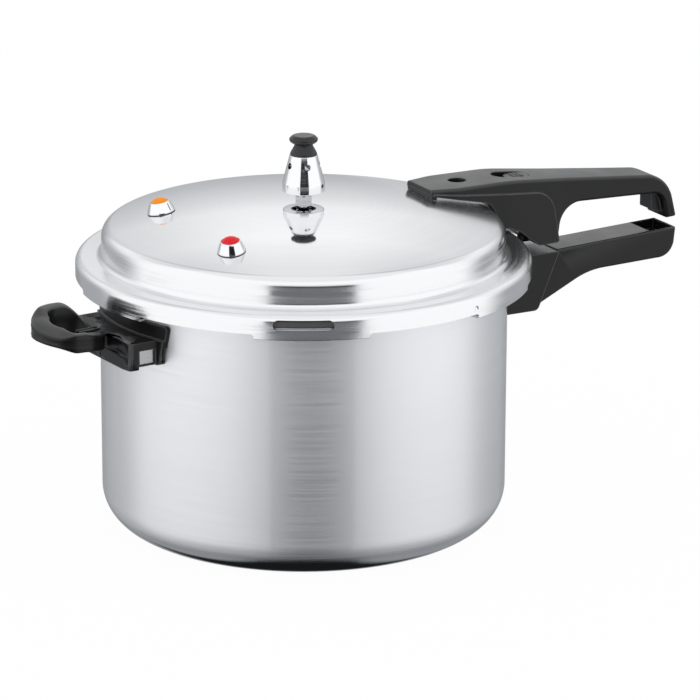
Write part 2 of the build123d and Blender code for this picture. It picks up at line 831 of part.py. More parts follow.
def stirrup_room(inner, outer, leg_end):
    """Room for the stirrup's legs and a window to them in each end of the base."""
    low = stirrup_low - fit_gap
    high = stirrup_high + fit_gap
    room = block(0, leg_end, 2 * (stirrup_half + fit_gap), low, high)
    room -= block(-1, leg_end + 1, 2 * (stirrup_half - stirrup_thickness - fit_gap), low - 1, high + 1)
    window = block(inner, outer, 4 * base_half, low, high)
    return room + (window - block(0, outer + 1, 2 * stirrup_half, low - 1, high + 1))


def tongue_room():
    width = tongue_width + 2 * fit_gap
    return block(0, tongue_tip + fit_gap, width, tongue_base - fit_gap, tongue_top + fit_gap)


def make_saddle():
    wide = base_half + 1
    upstand_top = base_top + upstand_rise
    front = outline(
        (-wide, base_low + 1, 1.5),
        (wide, base_low + 1, 1.5),
        (wide + saddle_lean, upstand_top, 2.0),
        (-wide - saddle_lean, upstand_top, 2.0),
    )
    body = extrude(Plane.YZ * front, pot_radius * 2)
    body &= rod(part_radius, 0, base_top) + rod(pot_radius + 2.5, 0, upstand_top)
    strip = ring(pot_radius - 1, stirrup_radius + 0.05, stirrup_low - fit_gap, stirrup_high + fit_gap)
    strip &= block(0, stirrup_radius + 1, 2 * (stirrup_half + fit_gap), 0, pot_height)
    body = body - rod(pot_radius + 0.05, 0, pot_height) - strip
    end = sqrt(part_radius**2 - base_half**2)
    body = body - stirrup_room(pot_radius / 2, end - frame_wall, bar_outer) - tongue_room()
    return body - make_helper_rivets(fit_gap)


def teardrop(round_place, round_radius, end_place, end_radius):
    """Round end drawn out to a narrower one nearer the pot."""
    lean = acos((round_radius - end_radius) / (round_place - end_place))
    ends = ((round_place, round_radius), (end_place, end_radius))
    near = [(place - radius * cos(lean), radius * sin(lean)) for place, radius in ends]
    taper = make_face(Polyline(*near, *[(x, -y) for x, y in reversed(near)], close=True))
    return Pos(round_place, 0) * Circle(round_radius) + Pos(end_place, 0) * Circle(end_radius) + taper


def runs_outwards(edge):
    """True for an edge that leads away from the pot beside the middle plane."""
    return abs(edge.center().Y) > 2 and abs((edge @ 0).X - (edge @ 1).X) > 0.5


def make_loop():
    side = outline(
        (waist - 2, base_low + 6, 0),
        (ring_place - 8, ring_low, 14.0),
        (ring_place + 6, ring_low, 14.0),
        (ring_tip + 1, ring_low + toe_rise, 0),
        (ring_tip + 1, ring_high, 0),
        (ring_place - 4, ring_high, 14.0),
        (neck_place + 1, base_top, 6.0),
        (waist - 2, base_top, 0),
    )
    plan = teardrop(ring_place, ring_radius, neck_place, neck_half)
    body = side_cut(side, 3 * ring_radius) & plan_cut(plan, 0, pot_height)
    middle = ring_high - ring_radius * tan(radians(ring_lean))
    under = Box(6 * ring_radius, 6 * ring_radius, 4 * ring_depth, align=(Align.CENTER, Align.CENTER, Align.MAX))
    body &= Pos(ring_place, 0, middle) * Rot(-ring_lean, 0, 0) * under
    crown = body.edges().filter_by_position(Axis.Z, base_top - 0.1, pot_height)
    return fillet(crown.filter_by(runs_outwards), ring_edge)


def ring_opening():
    """Barrel-shaped opening between the neck and the toe."""
    start = neck_place + ring_neck
    end = ring_tip - ring_toe
    across = Pos((start + end) / 2, 0) * Rectangle(end - start, 3 * ring_radius)
    plan = across & Pos(ring_place, 0) * Circle(ring_radius - ring_wall)
    return plan_cut(fillet(plan.vertices(), ring_wall), 0, pot_height)


def make_helper_handle():
    near = (
        (pot_radius / 2, base_half, 0),
        (bar_outer, base_half, 2.0),
        (waist, neck_half + 9, 14.0),
        (waist, neck_half - 0.5, 6.0),
        (neck_place + 10, neck_half - 0.5, 0),
    )
    plan = outline(*near, *[(x, -y, radius) for x, y, radius in reversed(near)])
    side = outline(
        (pot_radius / 2, base_low, 0),
        (bar_outer + 5, base_low, 2.0),
        (neck_place + 10, ring_low + 1, 6.0),
        (neck_place + 10, base_top, 0),
        (pot_radius / 2, base_top, 0),
    )
    foot = ((pot_radius / 2, base_half, 0), (bar_outer, base_half, 2.0), (bar_outer + 5, neck_half, 4.0))
    foot = outline(*foot, *[(x, -y, radius) for x, y, radius in reversed(foot)])
    fan = plan_cut(plan, base_low, base_top) + plan_cut(foot, base_low, base_low + foot_height)
    fan &= side_cut(side, 3 * base_half)
    bore = rod(screw_radius + fit_gap, 0, tongue_base) + rod(screw_head + head_room, 0, helper_screw_head)
    body = fan + make_loop() - ring_opening()
    body = body - rod(part_radius + fit_gap, 0, pot_height)
    end = sqrt(part_radius**2 - base_half**2)
    body -= block(0, bar_outer - 6, 3 * base_half, 0, base_low + 1.8)
    body = body - stirrup_room(end + frame_wall, stirrup_end, stirrup_end + fit_gap) - tongue_room()
    return body - Pos(helper_screw_place, 0, 0) * bore


def make_helper_screw():
    place = Pos(helper_screw_place, 0, helper_screw_head) * Rot(180, 0, 0)
    return place * screw(screw_radius, screw_head, screw_head_height, tongue_top - helper_screw_head)


def save(name, shape):
    solids = shape if isinstance(shape, list) else [shape]
    solids = [solid for piece in solids for solid in piece.solids()]
    export_step(solids[0] if len(solids) == 1 else Compound(solids), f"parts/{name}.step")


os.makedirs("parts", exist_ok=True)
save("pot_body", make_pot())
save("pot_handle_bracket", make_pot_handle_bracket())
save("pot_handle_rivets", make_pot_handle_rivets())
save("pot_handle", make_pot_handle())
save("pot_handle_screw", make_pot_handle_screw())
save("lid_shell", make_lid())
save("lid_gasket", make_gasket())
save("vent_pipe", make_vent_pipe())
save("vent_seal", make_vent_seal())
save("vent_nut", make_vent_nut())
save("vent_screen", make_vent_screen())
save("weight_bell", make_weight_bell())
save("weight_needle", make_weight_needle())
save("weight_knob", make_weight_knob())
for colour, radius, turn in (("red", red_radius, red_turn), ("amber", amber_radius, amber_turn)):
    for name, shape in make_valve(radius, turn).items():
        save(f"{colour}_valve_{name}", shape)
save("float_bush", make_float_bush())
save("float_nut", make_float_nut())
save("float_pin", make_float_pin())
save("float_seal", make_float_seal())
save("float_cap", make_float_cap())
save("lid_handle_strap", make_strap())
save("lid_handle_rivets", make_lid_handle_rivets())
save("lid_handle", make_lid_handle())
save("lid_handle_screw", make_lid_handle_screw())
save("lock_button", make_lock_button())
save("lock_bolt", make_lock_bolt())
save("lock_screw", make_lock_screw())
for name, shape in (
    ("helper_bracket", make_stirrup()),
    ("helper_rivets", make_helper_rivets()),
    ("helper_saddle", make_saddle()),
    ("helper_handle", make_helper_handle()),
    ("helper_screw", make_helper_screw()),
):
    pieces = shape if isinstance(shape, list) else [shape]
    save(name, [turn_round * piece for piece in pieces])
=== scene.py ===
import json
import math

import bmesh
import bpy
from mathutils import Matrix, Vector


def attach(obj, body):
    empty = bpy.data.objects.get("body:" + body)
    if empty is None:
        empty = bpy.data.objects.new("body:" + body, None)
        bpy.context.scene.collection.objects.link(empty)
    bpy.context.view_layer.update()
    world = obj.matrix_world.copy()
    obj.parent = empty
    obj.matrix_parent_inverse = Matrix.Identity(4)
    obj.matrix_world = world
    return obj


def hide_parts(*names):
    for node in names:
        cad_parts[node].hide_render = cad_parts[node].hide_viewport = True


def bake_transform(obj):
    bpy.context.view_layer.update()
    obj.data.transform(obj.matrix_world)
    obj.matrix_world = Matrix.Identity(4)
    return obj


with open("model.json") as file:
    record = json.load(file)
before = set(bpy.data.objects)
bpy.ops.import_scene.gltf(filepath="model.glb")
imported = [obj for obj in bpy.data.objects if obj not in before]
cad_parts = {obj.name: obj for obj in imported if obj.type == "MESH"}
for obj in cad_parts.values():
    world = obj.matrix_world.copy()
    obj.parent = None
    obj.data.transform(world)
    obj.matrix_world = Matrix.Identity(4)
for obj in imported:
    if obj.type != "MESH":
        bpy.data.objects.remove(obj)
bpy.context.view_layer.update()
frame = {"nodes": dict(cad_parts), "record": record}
nodes = frame["nodes"]
scene = bpy.context.scene
print("frame loaded with", len(nodes), "nodes")


# node shortcuts
def addNode(tree, kind, inputs=None, **settings):
    node = tree.nodes.new("ShaderNode" + kind)
    for name, value in settings.items():
        setattr(node, name, value)
    for name, value in (inputs or {}).items():
        if isinstance(value, bpy.types.NodeSocket):
            tree.links.new(value, node.inputs[name])
        else:
            node.inputs[name].default_value = value
    return node


def feed(tree, shader, **sockets):
    for socket, value in sockets.items():
        tree.links.new(value, shader.inputs[socket.replace("_", " ")])


def calc(tree, operation, first, second=0.0, third=0.0):
    return addNode(tree, "Math", {0: first, 1: second, 2: third}, operation=operation).outputs[0]


def spread(tree, value, low, high, lowOut=0.0, highOut=1.0, smooth=False):
    kind = "SMOOTHSTEP" if smooth else "LINEAR"
    limits = {"Value": value, "From Min": low, "From Max": high, "To Min": lowOut, "To Max": highOut}
    return addNode(tree, "MapRange", limits, interpolation_type=kind).outputs[0]


def mixValue(tree, factor, first, second):
    return addNode(tree, "Mix", {0: factor, 2: first, 3: second}).outputs[0]


def mixColour(tree, factor, first, second):
    return addNode(tree, "Mix", {0: factor, 6: first, 7: second}, data_type="RGBA").outputs[2]


def scaled(tree, colour, factor):
    return addNode(tree, "VectorMath", {0: colour, "Scale": factor}, operation="SCALE").outputs[0]


def tint(tree, factor, dark, light):
    ramp = addNode(tree, "ValToRGB", {"Fac": factor})
    ramp.color_ramp.elements[0].color = (*dark, 1)
    ramp.color_ramp.elements[1].color = (*light, 1)
    return ramp.outputs["Color"]


def objectAxes(tree):
    return addNode(tree, "SeparateXYZ", {0: addNode(tree, "TexCoord").outputs["Object"]}).outputs


def objectPlace(tree, scale=(1, 1, 1)):
    place = addNode(tree, "TexCoord").outputs["Object"]
    return addNode(tree, "Mapping", {"Vector": place, "Scale": scale}).outputs[0]


lineSlant = 0.83  # radius counts less than height, so that lines run on over flat and upright faces


def turnedPlace(tree, around, pitch):
    # slow round the pot's axis, quick across it, so noise on it reads as tool lines
    x, y, z = objectAxes(tree)
    radius = calc(tree, "ADD", calc(tree, "POWER", x, 2), calc(tree, "POWER", y, 2))
    radius = calc(tree, "SQRT", radius)
    across = calc(tree, "ADD", calc(tree, "MULTIPLY", radius, lineSlant), z)
    return addNode(tree, "CombineXYZ", {
        "X": calc(tree, "MULTIPLY", x, around),
        "Y": calc(tree, "MULTIPLY", y, around),
        "Z": calc(tree, "DIVIDE", across, pitch),
    }).outputs[0]


def noise(tree, place, scale, detail=3.0, rough=0.55):
    inputs = {"Vector": place, "Scale": scale, "Detail": detail, "Roughness": rough}
    return addNode(tree, "TexNoise", inputs).outputs["Fac"]


def newFinish(name, **sockets):
    mat = bpy.data.materials.new(name)
    mat.use_nodes = True
    tree = mat.node_tree
    shader = tree.nodes["Principled BSDF"]
    for socket, value in sockets.items():
        shader.inputs[socket.replace("_", " ")].default_value = value
    return mat, tree, shader


def roughen(tree, shader, height, strength, depth, normal=None):
    inputs = {"Height": height, "Strength": strength, "Distance": depth}
    if normal:
        inputs["Normal"] = normal
    feed(tree, shader, Normal=addNode(tree, "Bump", inputs).outputs[0])


# spans of a noise's value that are stretched over a finish's whole range
fineSpan = (0.35, 0.65)
wideSpan = (0.3, 0.7)


def applyPattern(tree, shader, plan, pattern, grain=None):
    # colour, gloss and relief that follow one noise, or relief from a grain of its own
    feed(tree, shader, Base_Color=tint(tree, pattern, plan["shade"], plan["colour"]))
    if "rough" in plan:
        feed(tree, shader, Roughness=spread(tree, pattern, *plan["span"], *plan["rough"]))
    if "bump" in plan:
        roughen(tree, shader, pattern if grain is None else grain, *plan["bump"])


# finishes
potFinish = {
    "colour": (0.850, 0.862, 0.885), "shade": (0.815, 0.828, 0.853), "rough": (0.44, 0.54),
    "around": 9.0, "pitch": 0.0009, "clouds": 14.0, "share": 0.5, "bump": (0.006, 0.0002),
    "paintedShadeLevel": 0.84, "paintedShadeRise": (0.02, 0.15), "footPolish": 0.24, "footRise": (0.010, 0.015),
}


def makePotFinish():
    plan = potFinish
    mat, tree, shader = newFinish("satinPot", Metallic=1.0, Coat_Weight=1.0, Coat_Roughness=0.07)
    lines = noise(tree, turnedPlace(tree, plan["around"], plan["pitch"]), 1.0, detail=4.0, rough=0.62)
    clouds = noise(tree, objectPlace(tree), plan["clouds"], detail=2.0)
    clouds = calc(tree, "MULTIPLY", clouds, 1 - plan["share"])
    streaks = calc(tree, "MULTIPLY_ADD", lines, plan["share"], clouds)
    height = objectAxes(tree)["Z"]
    paintedShade = spread(tree, height, *plan["paintedShadeRise"], plan["paintedShadeLevel"], 1.0)  # painted shade: the colour darkens towards the base, standing in for the floor's shade on the lower wall
    body = scaled(tree, tint(tree, streaks, plan["shade"], plan["colour"]), paintedShade)
    satin = spread(tree, lines, *fineSpan, *plan["rough"])
    foot = spread(tree, height, *plan["footRise"], plan["footPolish"], 1.0)  # polished under the wall
    feed(tree, shader, Base_Color=body, Roughness=calc(tree, "MULTIPLY", satin, foot))
    roughen(tree, shader, lines, *plan["bump"])
    return mat


lidFinish = {
    "colour": (0.86, 0.865, 0.875), "shade": (0.80, 0.805, 0.82), "around": 7.0, "pitch": 0.0016,
    "domeEdge": (0.181, 0.184), "domeRough": 0.055, "skirtRough": (0.12, 0.28), "bump": (0.25, 0.00025),
    "handled": (0.045, 0.085), "handledRough": 0.24,
}


def makeLidFinish():
    plan = lidFinish
    mat, tree, shader = newFinish("polishedLid", Metallic=1.0, Anisotropic=0.4, Anisotropic_Rotation=0.25)
    lines = noise(tree, turnedPlace(tree, plan["around"], plan["pitch"]), 1.0, detail=5.0, rough=0.6)
    axes = objectAxes(tree)
    spun = spread(tree, axes["Z"], *plan["domeEdge"], 1.0, 0.0)  # tool lines stay below the dome only
    skirt = spread(tree, lines, *fineSpan, *plan["skirtRough"])
    dome = spread(tree, axes["X"], *plan["handled"], plan["domeRough"], plan["handledRough"], True)
    body = tint(tree, lines, plan["shade"], plan["colour"])
    feed(tree, shader, Base_Color=body, Roughness=mixValue(tree, spun, dome, skirt))
    roughen(tree, shader, calc(tree, "MULTIPLY", lines, spun), *plan["bump"])
    return mat


mouldFinish = {
    "colour": (0.0055, 0.0055, 0.0063), "flow": (0.0100, 0.0100, 0.0108), "wornHighlight": (0.120, 0.120, 0.124),
    "flowScale": 45.0, "grainScale": 1400.0, "bump": (0.06, 0.0002), "rough": (0.24, 0.36),
    "edge": 0.0014, "edgeSamples": 6, "wearAndHighlight": (0.97, 0.84), "facing": (0.1, 0.85), "paintedTopHighlight": (0.27, 0.85),
}


def softEdges(tree, plan):
    # eased edges: the rounded normal, and how near a point lies to an edge, where the colour is painted
    # lighter, partly as wear and partly as a painted highlight
    eased = addNode(tree, "Bevel", {"Radius": plan["edge"]}, samples=plan["edgeSamples"]).outputs[0]
    face = addNode(tree, "NewGeometry").outputs["Normal"]
    agree = addNode(tree, "VectorMath", {0: eased, 1: face}, operation="DOT_PRODUCT").outputs["Value"]
    return eased, spread(tree, agree, *plan["wearAndHighlight"])


def makeMouldFinish():
    plan = mouldFinish
    mat, tree, shader = newFinish("blackMoulding", IOR=1.48)
    flow = noise(tree, objectPlace(tree), plan["flowScale"], detail=4.0)
    grain = noise(tree, objectPlace(tree), plan["grainScale"], detail=2.0)
    eased, wearAndHighlight = softEdges(tree, plan)
    # edges painted lighter grey: partly wear, partly a painted highlight along them
    body = mixColour(tree, wearAndHighlight, tint(tree, flow, plan["colour"], plan["flow"]), (*plan["wornHighlight"], 1))
    normal = addNode(tree, "NewGeometry").outputs["Normal"]
    upward = addNode(tree, "SeparateXYZ", {0: normal}).outputs["Z"]
    paintedTopHighlight = spread(tree, upward, *plan["facing"], *plan["paintedTopHighlight"])  # painted highlight: upper faces reflect more strongly, so the tops read lighter as if better lit
    rough = spread(tree, flow, *wideSpan, *plan["rough"])
    feed(tree, shader, Base_Color=body, Roughness=rough, Specular_IOR_Level=paintedTopHighlight)
    roughen(tree, shader, grain, *plan["bump"], eased)
    return mat


knobFinish = {
    "shade": (0.014, 0.014, 0.016), "colour": (0.024, 0.024, 0.026), "flowScale": 160.0, "grainScale": 2200.0,
    "span": wideSpan, "rough": (0.14, 0.26), "bump": (0.04, 0.0001),
}


def makeKnobFinish():
    mat, tree, shader = newFinish("knobBlack", IOR=1.5, Specular_IOR_Level=0.4)
    flow = noise(tree, objectPlace(tree), knobFinish["flowScale"])
    grain = noise(tree, objectPlace(tree), knobFinish["grainScale"], detail=2.0)
    applyPattern(tree, shader, knobFinish, flow, grain)
    return mat


chromeFinish = {
    "shade": (0.83, 0.835, 0.85), "colour": (0.88, 0.885, 0.895), "around": 20.0, "pitch": 0.0009,
    "span": fineSpan, "rough": (0.05, 0.12),
}


def makeChromeFinish():
    mat, tree, shader = newFinish("chromePlate", Metallic=1.0)
    lines = noise(tree, turnedPlace(tree, chromeFinish["around"], chromeFinish["pitch"]), 1.0)
    applyPattern(tree, shader, chromeFinish, lines)
    return mat


steelFinish = {
    "shade": (0.33, 0.335, 0.345), "colour": (0.46, 0.465, 0.475), "brush": (60, 60, 2600),
    "span": wideSpan, "rough": (0.20, 0.36), "bump": (0.05, 0.0001),
}


def makeSteelFinish():
    mat, tree, shader = newFinish("brushedSteel", Metallic=1.0, Anisotropic=0.4)
    lines = noise(tree, objectPlace(tree, steelFinish["brush"]), 1.0)
    applyPattern(tree, shader, steelFinish, lines)
    return mat


fastenerFinish = {
    "shade": (0.46, 0.46, 0.47), "colour": (0.62, 0.62, 0.63), "spotScale": 420.0,
    "span": wideSpan, "rough": (0.18, 0.36), "bump": (0.05, 0.0001),
}


def makeFastenerFinish():
    mat, tree, shader = newFinish("fastenerSteel", Metallic=1.0)
    spots = noise(tree, objectPlace(tree), fastenerFinish["spotScale"], detail=4.0)
    applyPattern(tree, shader, fastenerFinish, spots)
    return mat


rubberFinish = {
    "shade": (0.060, 0.060, 0.063), "colour": (0.105, 0.105, 0.108), "bloomScale": 70.0, "grainScale": 900.0,
    "span": wideSpan, "rough": (0.55, 0.75), "bump": (0.12, 0.0002),
}


def makeRubberFinish():
    mat, tree, shader = newFinish("greyRubber", IOR=1.45)
    bloom = noise(tree, objectPlace(tree), rubberFinish["bloomScale"], detail=4.0)
    grain = noise(tree, objectPlace(tree), rubberFinish["grainScale"])
    applyPattern(tree, shader, rubberFinish, bloom, grain)
    return mat


lensFinish = {
    "red": {"shade": (0.60, 0.004, 0.012), "colour": (0.90, 0.012, 0.026), "bump": (0.02, 0.0001)},
    "amber": {"shade": (0.85, 0.22, 0.002), "colour": (1.0, 0.36, 0.004), "bump": (0.02, 0.0001)},
    "swirlScale": 520.0,
}


def makeLensFinish(hue):
    mat, tree, shader = newFinish(hue + "Lens", Roughness=0.06, IOR=1.45, Specular_IOR_Level=0.3)
    swirl = noise(tree, objectPlace(tree), lensFinish["swirlScale"], detail=2.0)
    applyPattern(tree, shader, lensFinish[hue], swirl)
    return mat


finishes = {
    "pot_aluminium": makePotFinish(),
    "lid_aluminium": makeLidFinish(),
    "black_moulding": makeMouldFinish(),
    "knob_black": makeKnobFinish(),
    "steel": makeSteelFinish(),
    "fastener": makeFastenerFinish(),
    "chrome": makeChromeFinish(),
    "grey_rubber": makeRubberFinish(),
    "red_button": makeLensFinish("red"),
    "amber_button": makeLensFinish("amber"),
}
print("finishes made:", len(finishes))

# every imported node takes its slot's finish and soft shading between its creases
creaseAngle = math.radians(32)
weldGap = 1e-6  # points closer than this are one
for part in frame["record"]["subparts"]:
    piece = nodes[part["node"]]
    piece.data.materials.clear()
    piece.data.materials.append(finishes[part["material_slot"]])
    piece.data.polygons.foreach_set("use_smooth", [True] * len(piece.data.polygons))
    piece.modifiers.new("weld", "WELD").merge_threshold = weldGap
    piece.modifiers.new("creases", "EDGE_SPLIT").split_angle = creaseAngle
print("packed nodes dressed")


# shared modelling steps
def shadeSoft(mesh):
    mesh.polygons.foreach_set("use_smooth", [True] * len(mesh.polygons))
    mesh.set_sharp_from_angle(angle=creaseAngle)


def newPiece(bm, name, slot, body=None):
    # a mesh object in a slot's finish, which rides on a body where one is given
    mesh = bpy.data.meshes.new(name)
    bm.to_mesh(mesh)
    bm.free()
    mesh.materials.append(finishes[slot])
    shadeSoft(mesh)
    piece = bpy.data.objects.new(name, mesh)
    scene.collection.objects.link(piece)
    if body:
        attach(piece, body)
    return piece


def joinInto(bm, part):
    mesh = bpy.data.meshes.new("part")
    part.to_mesh(mesh)
    part.free()
    bm.from_mesh(mesh)
    bpy.data.meshes.remove(mesh)


def swing(degreesRound):
    return Matrix.Rotation(math.radians(degreesRound), 4, "Z")


def faceOut(bm):
    bmesh.ops.recalc_face_normals(bm, faces=bm.faces[:])


def move(bm, matrix):
    bmesh.ops.transform(bm, matrix=matrix, verts=bm.verts[:])


def merge(bm):
    bmesh.ops.remove_doubles(bm, verts=bm.verts[:], dist=weldGap)


def newVerts(made):
    return [v for v in made["geom"] if isinstance(v, bmesh.types.BMVert)]


levelGap = 1e-5  # an edge this near to a top lies on it


def atTop(edge, top):
    return min(v.co.z for v in edge.verts) > top - levelGap


def roundOff(bm, geom, offset, segments, affect="EDGES"):
    bmesh.ops.bevel(bm, geom=geom, offset=offset, offset_type="OFFSET", segments=segments, profile=0.5,
                    affect=affect, material=-1)


def edgesOf(verts):
    return list(dict.fromkeys(e for v in verts for e in v.link_edges))


def drawProfile(bm, corners, close=True):
    # wire in the XZ plane through (across, up, rounding) corners
    verts = [bm.verts.new((x, 0, z)) for x, z, rounding in corners]
    ends = verts[1:] + verts[:1] if close else verts[1:]
    for start, end in zip(verts, ends):
        bm.edges.new((start, end))
    return verts


def roundCorners(bm, verts, corners, segments):
    for vert, (x, z, rounding) in zip(verts, corners):
        if rounding:
            roundOff(bm, [vert], rounding, segments, "VERTICES")


def spinRound(bm, degreesRound, steps, **settings):
    bmesh.ops.spin(bm, geom=bm.verts[:] + bm.edges[:] + bm.faces[:], cent=(0, 0, 0), axis=(0, 0, 1),
                   angle=math.radians(degreesRound), steps=steps, **settings)


def turnProfile(bm, steps):
    spinRound(bm, 360, steps, use_merge=True)
    merge(bm)
    faceOut(bm)


seamGap = 0.000004  # slivers left by a cut are closed up below this


def cutAway(piece, tool):
    # a boolean cut that is applied at once
    cut = piece.modifiers.new("cut", "BOOLEAN")
    cut.object, cut.operation, cut.solver = tool, "DIFFERENCE", "EXACT"
    graph = bpy.context.evaluated_depsgraph_get()
    mesh = bpy.data.meshes.new_from_object(piece.evaluated_get(graph))
    piece.modifiers.remove(cut)
    piece.data = mesh
    bm = bmesh.new()
    bm.from_mesh(mesh)
    bmesh.ops.remove_doubles(bm, verts=bm.verts[:], dist=seamGap)
    bmesh.ops.dissolve_degenerate(bm, edges=bm.edges[:], dist=seamGap)
    bm.to_mesh(mesh)
    bm.free()
    shadeSoft(mesh)
    bpy.data.objects.remove(tool)


# lid shell: a turned blank, less the gaps between its lugs, the relief slot, a stop dimple and holes
valvePlaces = {"red": (0.092, -145.0), "amber": (0.0851, 152.0)}  # distance from the axis, turn
lidPlan = {
    "domeRadius": 0.487697, "domeTop": 0.1987, "domeEdge": 0.1834, "domeSteps": 40, "steps": 240,
    "shoulder": 0.1212, "ledge": 0.1664, "skirt": 0.137, "foot": 0.1522, "wall": 0.003, "ventHole": 0.0043,
    "arcStop": {"outside": 0.0056, "inside": 0.0032},
    "rounds": {"shoulder": 0.0052, "corner": 0.0036, "ledge": 0.0042, "foot": 0.0005, "lug": 0.0003,
               "underLedge": 0.0012, "underCorner": 0.0066, "underDome": 0.0028, "segments": 8},
    "lugs": 6, "lugTurn": 4.0, "lugAngle": 28.0, "lugTop": 0.1552, "lugBore": 0.1271, "lugEnd": 0.002,
    "gapSteps": 32, "gapReach": 0.001, "endSegments": 5, "endAngle": 57.0,
    "slot": (0.016, 0.0352, 0.0064), "slotTurn": -118.0, "slotRise": 0.161, "slotRound": 0.499,
    "slotSegments": 10,
    "stop": 0.0022, "stopTurn": -71.0, "stopRise": 0.1586, "stopOut": 0.6, "stopSegments": (24, 16),
    "holes": [(*valvePlaces["red"], 0.0043), (*valvePlaces["amber"], 0.0043), (0.1035, 0.0, 0.0038)],
    "holeDepth": 0.016, "holeSegments": 40,
}


def domeHeight(across, sink=0.0):
    radius = lidPlan["domeRadius"]
    return lidPlan["domeTop"] - radius + math.sqrt((radius - sink) ** 2 - across ** 2)


def onDome(across, turn):
    # frame on the dome's skin, upright to it
    tilt = Matrix.Rotation(math.asin(across / lidPlan["domeRadius"]), 4, "Y")
    return swing(turn) @ Matrix.Translation((across, 0, domeHeight(across))) @ tilt


def domeArc(bm, sink, start, end):
    radius = lidPlan["domeRadius"] - sink
    first = bm.verts.new((start, 0, domeHeight(start, sink)))
    sweep = math.asin(end / radius) - math.asin(start / radius)
    centre = (0, 0, lidPlan["domeTop"] - lidPlan["domeRadius"])
    made = bmesh.ops.spin(bm, geom=[first], cent=centre, axis=(0, 1, 0), angle=sweep,
                          steps=lidPlan["domeSteps"])
    return first, made["geom_last"][0]


def makeLidBlank():
    plan = lidPlan
    wall, shoulder, skirt, ledge = plan["wall"], plan["shoulder"], plan["skirt"], plan["ledge"]
    inner, bore = shoulder - wall, plan["lugBore"]
    rounds, stop = plan["rounds"], plan["arcStop"]
    corners = [
        (shoulder, plan["domeEdge"], rounds["shoulder"]),
        (shoulder, ledge, rounds["corner"]),
        (skirt, ledge, rounds["ledge"]),
        (skirt, plan["foot"], rounds["foot"]),
        (bore, plan["foot"], rounds["foot"]),
        (bore, plan["lugTop"], rounds["lug"]),
        (skirt - wall, plan["lugTop"], 0),
        (skirt - wall, ledge - wall, rounds["underLedge"]),
        (inner, ledge - wall, rounds["underCorner"]),
        (inner, domeHeight(inner, wall), rounds["underDome"]),
    ]
    bm = bmesh.new()
    outFirst, outLast = domeArc(bm, 0, plan["ventHole"], shoulder - stop["outside"])
    inFirst, inLast = domeArc(bm, wall, plan["ventHole"], inner - stop["inside"])
    verts = drawProfile(bm, corners, False)
    for start, end in ((outLast, verts[0]), (verts[-1], inLast), (outFirst, inFirst)):
        bm.edges.new((start, end))
    roundCorners(bm, verts, corners, rounds["segments"])
    turnProfile(bm, plan["steps"])
    return newPiece(bm, "lidShell", "lid_aluminium", "lid")


def makeLugGaps():
    plan = lidPlan
    reach = plan["gapReach"]
    inner, outer = plan["lugBore"] - reach, plan["skirt"] + reach
    low, high = plan["foot"] - reach, plan["lugTop"]
    pitch = 360 / plan["lugs"]
    width = pitch - plan["lugAngle"]
    bm = bmesh.new()
    drawProfile(bm, [(inner, low, 0), (outer, low, 0), (outer, high, 0), (inner, high, 0)])
    spinRound(bm, width, plan["gapSteps"])
    bmesh.ops.holes_fill(bm, edges=bm.edges[:], sides=4)
    faceOut(bm)
    ends = [e for e in bm.edges if e.calc_length() > (outer - inner) / 2 and atTop(e, high)
            and e.calc_face_angle() > math.radians(plan["endAngle"])]
    roundOff(bm, ends, plan["lugEnd"], plan["endSegments"])
    move(bm, swing(plan["lugTurn"] + pitch / 2 - width / 2))
    spinRound(bm, 360 - pitch, plan["lugs"] - 1, use_duplicate=True)
    return bm


def makeReliefSlot():
    plan = lidPlan
    depth, length, height = plan["slot"]
    bm = bmesh.new()
    bmesh.ops.create_cube(bm, size=1)
    bmesh.ops.scale(bm, vec=(depth, length, height), verts=bm.verts[:])
    along = [e for e in bm.edges if abs(e.verts[0].co.x - e.verts[1].co.x) > depth / 2]
    roundOff(bm, along, height * plan["slotRound"], plan["slotSegments"])
    middle = (plan["skirt"] - plan["wall"] / 2, 0, plan["slotRise"])
    move(bm, swing(plan["slotTurn"]) @ Matrix.Translation(middle))
    return bm


def makeLidTool():
    plan = lidPlan
    bm = makeLugGaps()
    joinInto(bm, makeReliefSlot())
    middle = (plan["skirt"] + plan["stopOut"] * plan["stop"], 0, plan["stopRise"])
    place = swing(plan["stopTurn"]) @ Matrix.Translation(middle)
    around, upward = plan["stopSegments"]
    bmesh.ops.create_uvsphere(bm, u_segments=around, v_segments=upward, radius=plan["stop"], matrix=place)
    for across, turn, radius in plan["holes"]:
        bmesh.ops.create_cone(bm, cap_ends=True, segments=plan["holeSegments"], radius1=radius,
                              radius2=radius, depth=plan["holeDepth"], matrix=onDome(across, turn))
    faceOut(bm)
    return newPiece(bm, "lidTool", "lid_aluminium")


lid = makeLidBlank()
cutAway(lid, makeLidTool())
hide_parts("lid_shell")
print("lid shell turned, faces:", len(lid.data.polygons))

# helper handle: the moulded base, with the loop redrawn round its toe and its opening
loopPlan = {
    "turn": 184.0, "cutAt": 0.1412, "place": 0.1615, "sweep": 300.0, "steps": 100,
    "outer": 0.0215, "armInner": 0.0182, "farInner": 0.0146, "toeInner": 0.0108,
    "low": 0.1351, "top": 0.1503, "lean": 11.0, "lip": 0.0018,
    "beads": (0.24, 0.74), "bead": 0.0002, "beadHalf": 0.0006,
    "rounds": {"lowIn": 0.0008, "lowOut": 0.0012, "topOut": 0.0005, "topIn": 0.0006, "segments": 3},
    "neck": (0.1405, 0.0044, 0.1394), "neckWall": (0.0030, 0.0032), "neckLow": 0.1310, "bow": 0.0150,
    "farSpan": (0.1, 0.7), "farFall": (0.15, 1.05), "toeSpan": (0.30, 0.80), "toeTurn": 4.0,
    "toeStart": 0.1675, "toeRise": 0.22, "toeDrop": 0.0006, "crown": 0.0020, "belly": 0.0014, "swell": 1.5,
}


def ease(value, low, high):
    part = min(max((value - low) / (high - low), 0.0), 1.0)
    return part * part * (3 - 2 * part)


